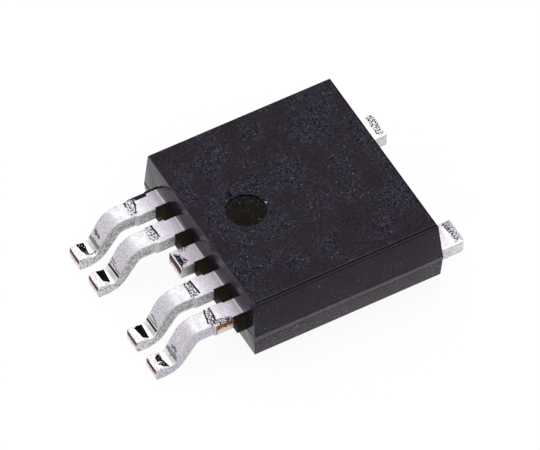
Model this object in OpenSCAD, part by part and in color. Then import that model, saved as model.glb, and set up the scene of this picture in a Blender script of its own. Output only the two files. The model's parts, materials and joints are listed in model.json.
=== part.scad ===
// Voltage regulator in a five-lead surface-mount power package.
// The seating plane is Z = 0, X runs across the leads and +Y points from the leads to the cooling tab.
// The origin is in the middle of the footprint, on the seating plane.

/* [Moulded body] */
// Width of the body at its parting line
body_w = 6.5; // [6.3:0.05:7]
// Length of the body at its parting line, without the tab
body_l = 6.15; // [5.9:0.05:6.6]
// Height of the body above the seating plane
body_h = 2.3; // [2.1:0.05:2.6]
// Height of the parting line, which is also the underside of the leads where they come out
part_z = 0.95; // [0.8:0.01:1.1]
// How far each side wall leans in between the parting line and the top
side_draft = 0.12; // [0.02:0.01:0.25]
// How far the lead-side wall leans in between the parting line and the top
front_draft = 0.07; // [0.02:0.01:0.25]
// How far the tab-side wall leans in between the parting line and the top
back_draft = 0.12; // [0.02:0.01:0.25]
// How far each side wall leans in between the parting line and the underside
under_side_draft = 0.1; // [0.01:0.01:0.2]
// How far the lead-side wall leans in between the parting line and the underside
under_front_draft = 0.07; // [0.01:0.01:0.2]
// How far the tab-side wall leans in between the parting line and the underside
under_back_draft = 0.02; // [0.01:0.01:0.2]
// Height of the resin's underside above the seating plane, so that the slug and the feet stand proud
standoff = 0.04; // [0.01:0.01:0.1]
// Radius of the rounding along the top edges
top_edge_r = 0.07; // [0.02:0.01:0.2]
// Radius of the rounding along the bottom edges
under_edge_r = 0.06; // [0.02:0.01:0.1]
// Reach of the resin left between the leads, out from the parting line
dam_resin_l = 0.33; // [0.1:0.01:0.6]
// Width of the resin left outside lead 1
lead_1_resin_w = 0.06; // [0.05:0.01:0.5]
// Width of the resin left outside lead 5
lead_5_resin_w = 0.26; // [0.05:0.01:0.5]

/* [Ejector pin mark] */
// Diameter of the round mark on the top face
mark_d = 1.18; // [0.6:0.02:1.6]
// Depth of the mark
mark_depth = 0.05; // [0.02:0.01:0.15]
// Distance from the lead-side parting line to the middle of the mark
mark_y = 1.54; // [1:0.02:3.6]

/* [Leads] */
// Distance between neighbouring leads, middle to middle
pitch = 1.14; // [1:0.01:1.2]
// Width of a lead
lead_w = 0.6; // [0.5:0.01:0.7]
// Thickness of the leads and of the slug, all stamped from one strip
strip_t = 0.45; // [0.42:0.01:0.55]
// Reach of the bent leads, out from the parting line
lead_reach = 2.8; // [2.75:0.05:3.2]
// Length of the straight shoulder before the bend
shoulder_l = 1.33; // [1.2:0.01:1.4]
// Inside radius of the bend below the shoulder
shoulder_bend_r = 0.2; // [0.1:0.01:0.3]
// Angle of the sloping part on its upper face, down from level
upper_slope = 62; // [50:1:68]
// Angle of the sloping part on its lower face, down from level
lower_slope = 54; // [48:1:60]
// Radius of the inner corner above the heel, which the forming punch leaves almost sharp
heel_r = 0.08; // [0.05:0.01:0.15]
// Radius that the underside of the heel is rolled to
sole_r = 0.8; // [0.6:0.01:0.9]
// Depth of the dip that the forming punch presses across the foot
foot_dip = 0.06; // [0.02:0.01:0.1]
// Length of the dip's level floor
dip_floor_l = 0.08; // [0.04:0.01:0.12]
// Length over which the foot rises again from the dip to its full thickness
dip_rise_l = 0.18; // [0.1:0.01:0.22]
// Radius of the lower edge at the tip of the foot
tip_r = 0.08; // [0.04:0.01:0.1]
// Extra width on each side where the tie bar between the leads was cut away
tie_stub_w = 0.05; // [0.01:0.01:0.1]
// Distance from the parting line to the outer end of those stubs
tie_stub_end = 0.93; // [0.8:0.01:1]
// Reach of the trimmed middle lead, out from the parting line
middle_reach = 0.78; // [0.5:0.01:1]
// Length of a lead inside the body
post_l = 1.15; // [0.9:0.05:1.3]
// Length of the narrow neck between the body wall and the wide bonding post
neck_l = 0.35; // [0.2:0.05:0.6]
// Width of the bonding post at the inner end of a lead
post_w = 0.85; // [0.65:0.01:0.95]

/* [Heat slug] */
// Width of the slug and its tab
slug_w = 5.4; // [5:0.05:5.6]
// Length of the tab outside the body
tab_l = 1.05; // [0.85:0.05:1.3]
// Width of each ear at the end of the tab
ear_w = 0.9; // [0.6:0.05:1.5]
// Depth of the recess between the ears
recess_l = 0.6; // [0.3:0.05:0.8]
// Radius of the inner corners of the recess
recess_r = 0.2; // [0.05:0.01:0.28]
// Radius of the outer corners of the ears
ear_r = 0.12; // [0.04:0.01:0.4]
// Length of the slug inside the body
pad_l = 4.3; // [3.9:0.05:4.45]
// Width of the lip round the slug that the resin grips from below
lip_w = 0.25; // [0.1:0.01:0.4]
// Height of the undercut below that lip
lip_z = 0.25; // [0.1:0.01:0.35]
// Depth of the sealing groove across the top of the slug
groove_d = 0.1; // [0.04:0.01:0.2]
// Distance from the tab-side parting line to the sealing groove
groove_y = 0.6; // [0.3:0.05:1]
// Width of the middle lead where it drops to the slug
drop_w = 0.9; // [0.7:0.05:1]
// Level length of the middle lead between the body wall and its drop
drop_start = 0.35; // [0.2:0.05:0.5]
// Angle of that drop, down from level
drop_slope = 50; // [45:1:60]
// Inside radius of the bend at the foot of the drop
drop_bend_r = 0.15; // [0.1:0.01:0.25]

/* [Chip] */
// Width of the silicon chip
chip_w = 2.4; // [1.5:0.1:3.4]
// Length of the silicon chip
chip_l = 2; // [1.2:0.1:2.4]
// Thickness of the silicon chip
chip_t = 0.25; // [0.15:0.01:0.35]
// Distance from the front edge of the slug to the chip
chip_y = 0.75; // [0.6:0.05:1]
// Thickness of the solder under the chip
solder_t = 0.03; // [0.02:0.01:0.08]
// Width of the solder that shows round the chip
solder_rim = 0.05; // [0.02:0.01:0.15]

/* [Bond wires] */
// Diameter of a bond wire
wire_d = 0.1; // [0.05:0.01:0.12]
// Height of a long wire's arch above the straight line between its ends
wire_rise = 0.5; // [0.3:0.05:0.6]
// Height of the arch of the short wire from the chip down to the slug
ground_rise = 0.16; // [0.14:0.01:0.2]
// Diameter of the flattened bond at each end of a wire
bond_d = 0.22; // [0.18:0.01:0.28]
// Height of that bond
bond_h = 0.06; // [0.04:0.01:0.09]
// Distance from the chip's edge to the middle of its bonds
bond_inset = 0.2; // [0.15:0.01:0.3]
// Distance from the inner end of a lead to the middle of its bond
post_bond = 0.4; // [0.2:0.05:0.6]
// Distance between neighbouring bonds on the chip
chip_bond_pitch = 0.45; // [0.3:0.01:0.55]

/* [Hidden] */
$fn = 48;
// Straight pieces that stand for a quarter of a rounded edge
edge_steps = 5;
// Straight pieces that stand for one bend of a lead
bend_steps = 12;
// How far a cutting solid runs past the face that it cuts
past = 1;

// The whole length, from the lead tips to the ends of the ears
total_l = lead_reach + body_l + tab_l;
front_y = -total_l / 2 + lead_reach;
back_y = front_y + body_l;
tab_end_y = back_y + tab_l;
slug_front_y = back_y - pad_l;

// Heights
lead_top_z = part_z + strip_t;
chip_z = strip_t + solder_t;
chip_top_z = chip_z + chip_t;
chip_front_y = slug_front_y + chip_y;

// Places of the leads, counted from the side of lead 1
function lead_x(i) = (i - 3) * pitch;

mould_colour = "#312e33";
tin_colour = "#c9c8d2";
silicon_colour = "#70747c";
solder_colour = "#a8a9ad";
wire_colour = "#c98a5a";

// The points of an arc that rounds corner p, met on the way from point a to point b
function round_corner(a, p, b, r, n) =
    let (u = (a - p) / norm(a - p), v = (b - p) / norm(b - p))
    let (half = acos(u * v) / 2, mid = (u + v) / norm(u + v))
    let (c = p + mid * r / sin(half), s = p + u * r / tan(half), e = p + v * r / tan(half))
    let (turn = 180 - 2 * half, way = cross(p - a, b - p) > 0 ? 1 : -1)
    [for (k = [0:n]) let (w = way * turn * k / n, d = s - c)
        c + [d[0] * cos(w) - d[1] * sin(w), d[0] * sin(w) + d[1] * cos(w)]];

// Side view of the body between two walls; each wall is its place at the parting line, how far it
// leans in at the top, and how far at the underside
module drafted_side(lo, hi) {
    under_lo = [lo[0] + lo[2], standoff];
    under_hi = [hi[0] - hi[2], standoff];
    top_hi = [hi[0] - hi[1], body_h];
    top_lo = [lo[0] + lo[1], body_h];
    part_lo = [lo[0], part_z];
    part_hi = [hi[0], part_z];
    polygon(concat(
        round_corner(part_lo, under_lo, under_hi, under_edge_r, edge_steps),
        round_corner(under_lo, under_hi, part_hi, under_edge_r, edge_steps),
        [part_hi],
        round_corner(part_hi, top_hi, top_lo, top_edge_r, edge_steps),
        round_corner(top_hi, top_lo, part_lo, top_edge_r, edge_steps),
        [part_lo]));
}

// Turns a drawing made as (Y, Z) upright and gives it a width w across X
module across_x(w) {
    translate([-w / 2, 0, 0])
        rotate([90, 0, 90])
            linear_extrude(height = w)
                children();
}

// Turns a drawing made as (X, Z) upright and runs it along Y from y0 over a length l
module along_y(y0, l) {
    translate([0, y0 + l, 0])
        rotate([90, 0, 0])
            linear_extrude(height = l)
                children();
}

// The block that the two mould halves would close on, before the metal is taken out of it
module mould_block() {
    intersection() {
        across_x(body_w + 2 * past)
            drafted_side([front_y, front_draft, under_front_draft], [back_y, back_draft, under_back_draft]);
        along_y(front_y - past, body_l + 2 * past)
            drafted_side([-body_w / 2, side_draft, under_side_draft], [body_w / 2, side_draft, under_side_draft]);
    }
}

// Resin that ran out between the leads as far as the tie bar
module dam_resin() {
    low_x = lead_x(1) - lead_w / 2 - lead_1_resin_w;
    high_x = lead_x(5) + lead_w / 2 + lead_5_resin_w;
    translate([low_x, front_y - dam_resin_l, part_z])
        cube([high_x - low_x, dam_resin_l + front_draft, strip_t]);
}

module mould_body() {
    color(mould_colour)
        difference() {
            union() {
                mould_block();
                dam_resin();
            }
            translate([0, front_y + mark_y, body_h - mark_depth])
                cylinder(d = mark_d, h = mark_depth + past);
            slug_solid();
            for (i = [1, 2, 4, 5]) lead_solid(i);
            chip_solid();
            solder_solid();
            for (i = [1:5]) wire_solid(i);
        }
}

function reversed(list) = [for (k = [len(list) - 1:-1:0]) list[k]];

// One face of a strip that steps down from level high to level low, drawn as (Y, Z): two opposite arcs
// with a slope between them. It starts at y and runs towards way = 1 or -1.
function step_down(y, way, high, low, r_high, r_low, slope) =
    let (slope_l = (high - low - (r_high + r_low) * (1 - cos(slope))) / sin(slope))
    let (run = (r_high + r_low) * sin(slope) + slope_l * cos(slope))
    let (angles = [for (k = [0:bend_steps]) slope * k / bend_steps])
    concat([for (a = angles) [y + way * r_high * sin(a), high - r_high * (1 - cos(a))]],
           [for (a = reversed(angles)) [y + way * (run - r_low * sin(a)), low + r_low * (1 - cos(a))]]);

// Side view of a gull-wing lead from its post inside the body to the tip of its foot
module lead_side() {
    bend_y = front_y - shoulder_l;
    tip_y = front_y - lead_reach;
    dip_z = strip_t - foot_dip;
    upper = step_down(bend_y, -1, lead_top_z, dip_z, shoulder_bend_r + strip_t, heel_r, upper_slope);
    lower = step_down(bend_y, -1, part_z, 0, shoulder_bend_r, sole_r, lower_slope);
    rise_y = upper[len(upper) - 1][0] - dip_floor_l;
    polygon(concat(
        [[front_y + post_l, lead_top_z]],
        upper,
        [[rise_y, dip_z], [rise_y - dip_rise_l, strip_t], [tip_y, strip_t]],
        round_corner([tip_y, strip_t], [tip_y, 0], [bend_y, 0], tip_r, edge_steps),
        reversed(lower),
        [[front_y + post_l, part_z]]));
}

// Top view of a lead: foot, stubs of the tie bar, neck and bonding post
module lead_outline() {
    half = lead_w / 2;
    stub = half + tie_stub_w;
    right = [[half, front_y - lead_reach], [half, front_y - tie_stub_end],
             [stub, front_y - tie_stub_end], [stub, front_y - dam_resin_l],
             [half, front_y - dam_resin_l], [half, front_y + neck_l],
             [post_w / 2, front_y + neck_l], [post_w / 2, front_y + post_l]];
    polygon(concat(right, [for (p = reversed(right)) [-p[0], p[1]]]));
}

module lead_solid(i) {
    translate([lead_x(i), 0, 0])
        intersection() {
            across_x(post_w + 2 * past)
                lead_side();
            translate([0, 0, -past])
                linear_extrude(height = lead_top_z + 2 * past)
                    lead_outline();
        }
}

module lead(i) {
    color(tin_colour)
        lead_solid(i);
}

// Side view of the slug: tab, pad, and the middle lead that rises from the pad to the parting line
module slug_side() {
    bend_y = front_y + drop_start;
    polygon(concat(
        [[front_y - middle_reach, lead_top_z]],
        step_down(bend_y, 1, lead_top_z, strip_t, shoulder_bend_r + strip_t, drop_bend_r, drop_slope),
        [[tab_end_y, strip_t], [tab_end_y, 0]],
        reversed(step_down(bend_y, 1, part_z, 0, shoulder_bend_r, drop_bend_r + strip_t, drop_slope)),
        [[front_y - middle_reach, part_z]]));
}

// Top view of the slug: middle lead, pad, and the tab with its recess between two ears
module slug_outline() {
    half = lead_w / 2;
    stub = half + tie_stub_w;
    tab_half = slug_w / 2;
    ear_in = tab_half - ear_w;
    recess_y = tab_end_y - recess_l;
    right = concat(
        [[stub, front_y - middle_reach], [stub, front_y - dam_resin_l],
         [half, front_y - dam_resin_l], [half, front_y + neck_l / 2],
         [drop_w / 2, front_y + neck_l / 2], [drop_w / 2, slug_front_y],
         [tab_half, slug_front_y]],
        round_corner([tab_half, slug_front_y], [tab_half, tab_end_y], [ear_in, tab_end_y], ear_r, edge_steps),
        [[ear_in, tab_end_y]],
        round_corner([ear_in, tab_end_y], [ear_in, recess_y], [0, recess_y], recess_r, edge_steps));
    polygon(concat(right, [for (p = reversed(right)) [-p[0], p[1]]]));
}

// The undercut along the front and the sides of the pad, which leaves a lip for the resin
module lip_undercut() {
    inner = slug_w / 2 - lip_w;
    side_l = back_y - under_back_draft - slug_front_y;
    for (s = [-1, 1])
        translate([s > 0 ? inner : -inner - lip_w - past, slug_front_y, -past])
            cube([lip_w + past, side_l - lip_w, lip_z + past]);
    drop_y = front_y + drop_start;
    translate([-slug_w / 2 - past, drop_y, -past])
        cube([slug_w + 2 * past, slug_front_y + lip_w - drop_y, lip_z + past]);
}

// The groove across the top of the slug, where the resin seals against moisture
module sealing_groove() {
    y = back_y - groove_y;
    across_x(slug_w + 2 * past)
        polygon([[y - groove_d, strip_t], [y, strip_t - groove_d], [y + groove_d, strip_t],
                 [y + groove_d, strip_t + past], [y - groove_d, strip_t + past]]);
}

module slug_solid() {
    difference() {
        intersection() {
            across_x(slug_w + 2 * past)
                slug_side();
            translate([0, 0, -past])
                linear_extrude(height = lead_top_z + 2 * past)
                    slug_outline();
        }
        lip_undercut();
        sealing_groove();
    }
}

module heat_slug() {
    color(tin_colour)
        slug_solid();
}

module chip_solid() {
    translate([-chip_w / 2, chip_front_y, chip_z])
        cube([chip_w, chip_l, chip_t]);
}

module chip() {
    color(silicon_colour)
        chip_solid();
}

module solder_solid() {
    translate([-chip_w / 2 - solder_rim, chip_front_y - solder_rim, strip_t])
        cube([chip_w + 2 * solder_rim, chip_l + 2 * solder_rim, solder_t]);
}

module chip_solder() {
    color(solder_colour)
        solder_solid();
}

// A flattened bond that stands on a pad at point p
module bond(p) {
    translate(p)
        cylinder(d = bond_d, h = bond_h);
}

// A wire that rises off the bond at point a and lands on the bond at point b, in one arc
module wire_arch(a, b, rise) {
    run = norm([b[0] - a[0], b[1] - a[1]]);
    climb = b[2] - a[2];
    chord = norm([run, climb]);
    r = (chord * chord / 4 + rise * rise) / (2 * rise);
    slope = atan2(climb, run);
    reach = 2 * atan2(rise, chord / 2);
    c = [run / 2, climb / 2] + (r - rise) * [sin(slope), -cos(slope)];
    translate(a + [0, 0, bond_h])
        rotate([90, 0, atan2(b[1] - a[1], b[0] - a[0])])
            translate([c[0], c[1], 0])
                rotate([0, 0, 90 + slope - reach])
                    rotate_extrude(angle = 2 * reach)
                        translate([r, 0])
                            circle(d = wire_d);
}

// Ends of each wire: on a bonding post and on the chip, or on the slug for the middle one
function wire_start(i) = i == 3
    ? [0, chip_front_y - solder_rim - bond_d, strip_t]
    : [lead_x(i), front_y + post_l - post_bond, lead_top_z];
function wire_end(i) = [(i - 3) * chip_bond_pitch, chip_front_y + bond_inset, chip_top_z];

module wire_solid(i) {
    bond(wire_start(i));
    bond(wire_end(i));
    wire_arch(wire_start(i), wire_end(i), i == 3 ? ground_rise : wire_rise);
}

module bond_wire(i) {
    color(wire_colour)
        wire_solid(i);
}

mould_body();
heat_slug();
lead(1);  // lead_1
lead(2);  // lead_2
lead(4);  // lead_4
lead(5);  // lead_5
chip();
chip_solder();
bond_wire(1);  // bond_wire_1
bond_wire(2);  // bond_wire_2
bond_wire(3);  // bond_wire_3
bond_wire(4);  // bond_wire_4
bond_wire(5);  // bond_wire_5
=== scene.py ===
# %% [markdown]
# # Dressing a voltage regulator in a five-lead power package
# The real part is about the size of a fingernail: a black epoxy block moulded round a tin-plated copper
# slug, with four bent leads and one trimmed lead on one side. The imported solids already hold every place
# and size. This lesson loads them, rebuilds the leads as bent strip, softens the edges that a mould and
# a stamping press would soften, and gives every surface its own finish.

# %% Load the fixed frame
import json
import math

import bmesh
import bpy
import numpy as np
from mathutils import Matrix, Vector

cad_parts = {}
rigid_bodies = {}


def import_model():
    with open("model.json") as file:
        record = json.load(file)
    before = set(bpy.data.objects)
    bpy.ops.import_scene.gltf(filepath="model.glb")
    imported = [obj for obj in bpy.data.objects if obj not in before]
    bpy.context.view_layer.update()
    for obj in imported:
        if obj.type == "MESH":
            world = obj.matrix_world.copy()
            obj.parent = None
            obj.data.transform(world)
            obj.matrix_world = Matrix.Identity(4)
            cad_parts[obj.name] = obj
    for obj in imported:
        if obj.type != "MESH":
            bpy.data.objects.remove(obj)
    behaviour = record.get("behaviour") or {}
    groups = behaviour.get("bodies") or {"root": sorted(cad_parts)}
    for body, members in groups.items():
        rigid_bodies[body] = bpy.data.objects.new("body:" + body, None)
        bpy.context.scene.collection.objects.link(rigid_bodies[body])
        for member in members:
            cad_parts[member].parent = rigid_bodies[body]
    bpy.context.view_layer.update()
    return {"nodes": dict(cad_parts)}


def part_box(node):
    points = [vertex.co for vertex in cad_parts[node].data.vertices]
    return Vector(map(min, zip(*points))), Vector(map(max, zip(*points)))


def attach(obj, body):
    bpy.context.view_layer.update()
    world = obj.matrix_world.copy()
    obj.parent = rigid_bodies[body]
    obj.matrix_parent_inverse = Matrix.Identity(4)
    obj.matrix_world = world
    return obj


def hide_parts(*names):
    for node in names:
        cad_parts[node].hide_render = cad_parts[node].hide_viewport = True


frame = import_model()

# %% [markdown]
# ## Sizes
# Everything is worked out in millimetres, because the part's drawing is in millimetres, and is scaled to
# metres at the last moment. The body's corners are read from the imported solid, so they can't drift from
# it. The sizes of the lead's bends are the drawing's own.

# %% Sizes in millimetres
MM = 0.001
body_low, body_high = (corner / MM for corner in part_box("mould_body"))
LEADS = {"lead_1": -2, "lead_2": -1, "lead_4": 1, "lead_5": 2}  # steps of the pitch from the middle lead
PITCH, LEAD_W, STUB_W = 1.14, 0.6, 0.7
STRIP_T, PART_Z, REACH, SHOULDER = 0.45, 0.95, 2.8, 1.33
STUB_FROM, STUB_TO = 0.33, 0.93
SHOULDER_R, HEEL_R, SOLE_R, TIP_R, TIP_EDGE = 0.2, 0.08, 0.8, 0.08, 0.02
UPPER_SLOPE, LOWER_SLOPE = math.radians(62), math.radians(54)
DIP, DIP_FLOOR, DIP_RISE = 0.06, 0.08, 0.18
POST_L, POST_W, NECK_L = 1.15, 0.85, 0.35
RESIN_FROM, RESIN_TO = -2.64, 2.84
BODY_L, SIDE_DRAFT, BACK_DRAFT, FRONT_DRAFT = 6.15, 0.12, 0.12, 0.07
FRONT_Y = body_low.y + STUB_FROM
BACK_Y = FRONT_Y + BODY_L
HALF_W = body_high.x
BODY_H = body_high.z
LEAD_TOP = PART_Z + STRIP_T
TOP_X, TOP_BACK, TOP_FRONT = HALF_W - SIDE_DRAFT, BACK_Y - BACK_DRAFT, FRONT_Y + FRONT_DRAFT
PIN_MIDDLE, PIN_R = Vector((0, FRONT_Y + 1.54)), 0.59
print("body from", round(FRONT_Y, 3), "to", round(BACK_Y, 3), "and", round(HALF_W * 2, 3), "wide")

# %% [markdown]
# ## Camera
# The picture is taken from high up at the lead side, with a long lens, so the part shows hardly any
# perspective. The camera is placed by two angles and a distance from a point in the part, and rolled a
# little, as the picture is.

# %% Camera
def add_object(name, data):
    made = bpy.data.objects.new(name, data)
    bpy.context.scene.collection.objects.link(made)
    return made


AZIMUTH, ELEVATION, ROLL = math.radians(60.5), math.radians(50.9), math.radians(0.4)
AIM = Vector((-0.12, 0.185, 1.0)) * MM
DISTANCE = 270 * MM
back = Vector((math.sin(AZIMUTH) * math.cos(ELEVATION), -math.cos(AZIMUTH) * math.cos(ELEVATION),
               math.sin(ELEVATION)))
right = Vector((math.cos(AZIMUTH), math.sin(AZIMUTH), 0))
up = back.cross(right)
across = math.cos(ROLL) * right + math.sin(ROLL) * up
upward = math.cos(ROLL) * up - math.sin(ROLL) * right
camera = add_object("camera", bpy.data.cameras.new("camera"))
axes = [across, upward, back, AIM + back * DISTANCE]
camera.matrix_world = Matrix([[axis[i] for axis in axes] for i in range(3)] + [[0, 0, 0, 1]])
camera.data.sensor_width = 36
camera.data.lens = 630.9
camera.data.clip_start, camera.data.clip_end = 0.01, 20
bpy.context.scene.camera = camera
print("camera at", [round(c, 4) for c in camera.matrix_world.translation])

# %% [markdown]
# ## Helpers for node trees
# One function turns the sRGB colours, which is how a colour reads on a screen, into the linear values
# that the shader sums with. Another adds a node with its settings and links in one line, so that a
# material reads from its first line to its last.

# %% Colours as linear values
def linear(hex_colour):
    parts = [int(hex_colour[i:i + 2], 16) / 255 for i in (1, 3, 5)]
    return [c / 12.92 if c <= 0.04045 else ((c + 0.055) / 1.055) ** 2.4 for c in parts] + [1.0]


print("a middle grey in linear values:", [round(c, 3) for c in linear("#808080")])


# %% One function that adds any node
def add_node(tree, kind, settings=None, inputs=None):
    made = tree.nodes.new(kind)
    for name, value in (settings or {}).items():
        setattr(made, name, value)
    for socket, value in (inputs or {}).items():
        if isinstance(value, bpy.types.NodeSocket):
            tree.links.new(value, made.inputs[socket])
        else:
            made.inputs[socket].default_value = value
    return made


COLOURS = {"data_type": "RGBA"}
print("a node that mixes colours is set with", COLOURS)

# %% [markdown]
# ## A group that draws a mark
# The metal carries marks from the tools that cut and bent it, and painted highlights and shade lie among
# them. Each mark is a four-sided patch in the part's own millimetres, so it stays on the metal whichever way
# the part is turned. The group measures how far a point lies inside the four sides, blends over an edge
# width, and opens holes where a noise is low.

# %% The four-sided mark
def new_group(name, kind, inputs, result, result_kind):
    """A node group with named inputs and one named result, and the sockets of its inputs."""
    group = bpy.data.node_groups.new(name, kind)
    for socket, socket_kind in inputs.items():
        group.interface.new_socket(socket, in_out="INPUT", socket_type="NodeSocket" + socket_kind)
    group.interface.new_socket(result, in_out="OUTPUT", socket_type="NodeSocket" + result_kind)
    return group, add_node(group, "NodeGroupInput").outputs


def make_mark_group():
    corners = ("A", "B", "C", "D")
    points = dict.fromkeys(("Place", *corners), "Vector")
    levels = dict.fromkeys(("Edge", "Noise", "Holes"), "Float")
    group, given = new_group("four_sided_mark", "ShaderNodeTree", points | levels, "Mask", "Float")
    least = None
    for start, end in zip(corners, corners[1:] + corners[:1]):
        side = add_node(group, "ShaderNodeVectorMath", {"operation": "SUBTRACT"},
                        {0: given[end], 1: given[start]})
        way = add_node(group, "ShaderNodeVectorMath", {"operation": "NORMALIZE"}, {0: side.outputs[0]})
        reach = add_node(group, "ShaderNodeVectorMath", {"operation": "SUBTRACT"},
                         {0: given["Place"], 1: given[start]})
        turn = add_node(group, "ShaderNodeVectorMath", {"operation": "CROSS_PRODUCT"},
                        {0: way.outputs[0], 1: reach.outputs[0]})
        inside = add_node(group, "ShaderNodeSeparateXYZ", inputs={0: turn.outputs[0]}).outputs["Z"]
        if least is not None:
            inside = add_node(group, "ShaderNodeMath", {"operation": "MINIMUM"},
                              {0: least, 1: inside}).outputs[0]
        least = inside
    inner = add_node(group, "ShaderNodeMath", {"operation": "MULTIPLY"}, {0: given["Edge"], 1: -1.0})
    shape = add_node(group, "ShaderNodeMapRange", {"interpolation_type": "SMOOTHSTEP"},
                     {"Value": least, "From Min": inner.outputs[0], "From Max": given["Edge"]})
    high = add_node(group, "ShaderNodeMath", {"operation": "ADD"}, {0: given["Holes"], 1: 0.06})
    kept = add_node(group, "ShaderNodeMapRange", {"interpolation_type": "SMOOTHSTEP"},
                    {"Value": given["Noise"], "From Min": given["Holes"], "From Max": high.outputs[0]})
    mask = add_node(group, "ShaderNodeMath", {"operation": "MULTIPLY"},
                    {0: shape.outputs[0], 1: kept.outputs[0]})
    add_node(group, "NodeGroupOutput", inputs={"Mask": mask.outputs[0]})
    return group


mark_group = make_mark_group()
print("group:", mark_group.name, "of", len(mark_group.nodes), "nodes")


# %% Lay marks over a colour
def block(x0, y0, x1, y1):
    """The corners of an upright block, in the order that the group wants."""
    return (x0, y0), (x1, y0), (x1, y1), (x0, y1)


def draw_marks(tree, colour, marks, noise):
    """Lays marks over a colour. Each is (place, shade, edge width, noise level of its holes, corners)."""
    for place, shade, edge, holes, corners in marks:
        points = {name: (x, y, 0.0) for name, (x, y) in zip("ABCD", corners)}
        mask = add_node(tree, "ShaderNodeGroup", {"node_tree": mark_group},
                        {"Place": place, "Edge": edge, "Noise": noise, "Holes": holes, **points})
        colour = add_node(tree, "ShaderNodeMix", COLOURS,
                          {0: mask.outputs[0], 6: colour, 7: linear(shade)}).outputs[2]
    return colour


print("corners of a block:", block(0, 0, 2, 1))

# %% [markdown]
# ## What every finish shares
# Each finish is worked out from the place on the piece in millimetres, goes between two colours with a
# noise, and ends in one bump and one shader. The bump has a real depth, so the grain catches the light as
# the real one does, and it needs no faces of its own.

# %% Start and end of a finish
def new_material(name):
    material = bpy.data.materials.new(name)
    material.use_nodes = True
    material.node_tree.nodes.clear()
    return material, material.node_tree


def millimetres(tree):
    """Object coordinates, in millimetres."""
    place = add_node(tree, "ShaderNodeTexCoord").outputs["Object"]
    return add_node(tree, "ShaderNodeVectorMath", {"operation": "SCALE"},
                    {0: place, "Scale": 1 / MM}).outputs[0]


def shade_between(tree, noise, low, high, dark, light):
    """A colour that goes from dark to light while a noise goes from low to high."""
    amount = add_node(tree, "ShaderNodeMapRange", inputs={"Value": noise, "From Min": low, "From Max": high})
    return add_node(tree, "ShaderNodeMix", COLOURS,
                    {0: amount.outputs[0], 6: linear(dark), 7: linear(light)}).outputs[2]


def end_surface(tree, colour, height, strength, depth_mm, settings):
    """The end of each finish: a bump with a depth in millimetres, one shader and the output."""
    bump = add_node(tree, "ShaderNodeBump",
                    inputs={"Height": height, "Strength": strength, "Distance": depth_mm * MM}).outputs[0]
    shader = add_node(tree, "ShaderNodeBsdfPrincipled",
                      inputs={"Base Color": colour, "Normal": bump, **settings})
    add_node(tree, "ShaderNodeOutputMaterial", inputs={"Surface": shader.outputs[0]})


print("a pattern of scale 1 repeats about once in", MM, "m")

# %% [markdown]
# ## Epoxy moulding compound
# The body is epoxy filled with fine silica and blackened with soot, moulded at about 175 degrees. The
# mould's large faces are spark-eroded, which leaves a grain of a few hundredths of a millimetre, with a
# bluish glint where a silica grain lies bare. The front wall is smoother, so it shines at a low angle, and
# the ejector pin leaves the resin dull and dark. The resin that the dam bar held back between the leads
# is dull, and it and the back and left top edges are painted near black as painted shade. The band below
# the parting line is painted paler, a painted reflection of the white sheet. One function makes all the
# finishes of the one compound, so they differ only in grain, shine and the fine lines of painted highlight
# and shade along edges.

# %% Epoxy from the mould
# how many fit in a millimetre; the silica is a little coarser than the real one, so that it shows
GRAINS, SILICA, PATCHES = 20.0, 28.0, 0.9


def make_epoxy(name, dark, light, roughness, shine, glint, grain_depth_mm, lines=(), on_side=False,
               tint="#F1E8FA"):
    """Lines, which paint highlight and shade along edges, are (shade, edge width, noise level of holes,
    corners), in (x, y) or, on a side, in (y, z).
    """
    material, tree = new_material(name)
    place = millimetres(tree)
    cells = add_node(tree, "ShaderNodeTexVoronoi",
                     inputs={"Vector": place, "Scale": SILICA, "Randomness": 1.0})
    pick = add_node(tree, "ShaderNodeSeparateColor", inputs={0: cells.outputs["Color"]}).outputs
    grain = add_node(tree, "ShaderNodeTexNoise", inputs={"Vector": place, "Scale": GRAINS, "Detail": 3.0})
    patches = add_node(tree, "ShaderNodeTexNoise", inputs={"Vector": place, "Scale": PATCHES, "Detail": 3.0})
    worn = add_node(tree, "ShaderNodeMapRange", inputs={"Value": patches.outputs["Fac"], "From Min": 0.42,
                                                        "From Max": 0.6, "To Min": 0.3})
    colour = shade_between(tree, patches.outputs["Fac"], 0.35, 0.65, dark, light)
    # half of the silica cells get some bluish glint, half some dark, and one or two in a hundred a spark
    for channel, low, amount, shade in ((0, 0.5, glint, "#504B59"), (1, 0.5, glint * 1.6, "#08070A"),
                                        (2, 0.985, glint * 2, "#7C7A84")):
        share = add_node(tree, "ShaderNodeMapRange",
                         inputs={"Value": pick[channel], "From Min": low, "To Max": amount})
        share = add_node(tree, "ShaderNodeMath", {"operation": "MULTIPLY", "use_clamp": True},
                         {0: share.outputs[0], 1: worn.outputs[0]})
        colour = add_node(tree, "ShaderNodeMix", COLOURS,
                          {0: share.outputs[0], 6: colour, 7: linear(shade)}).outputs[2]
    axes = add_node(tree, "ShaderNodeSeparateXYZ", inputs={0: place}).outputs
    side = add_node(tree, "ShaderNodeCombineXYZ", inputs={"X": axes["Y"], "Y": axes["Z"]}).outputs[0]
    laid = side if on_side else place
    colour = draw_marks(tree, colour, [(laid, *line) for line in lines], grain.outputs["Fac"])
    end_surface(tree, colour, grain.outputs["Fac"], 1.0, grain_depth_mm,
                {"Roughness": roughness, "Specular IOR Level": shine, "Specular Tint": linear(tint)})
    return material


print("in mm, grain", 1 / GRAINS, "silica", round(1 / SILICA, 3), "patches", round(1 / PATCHES, 2))
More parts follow.
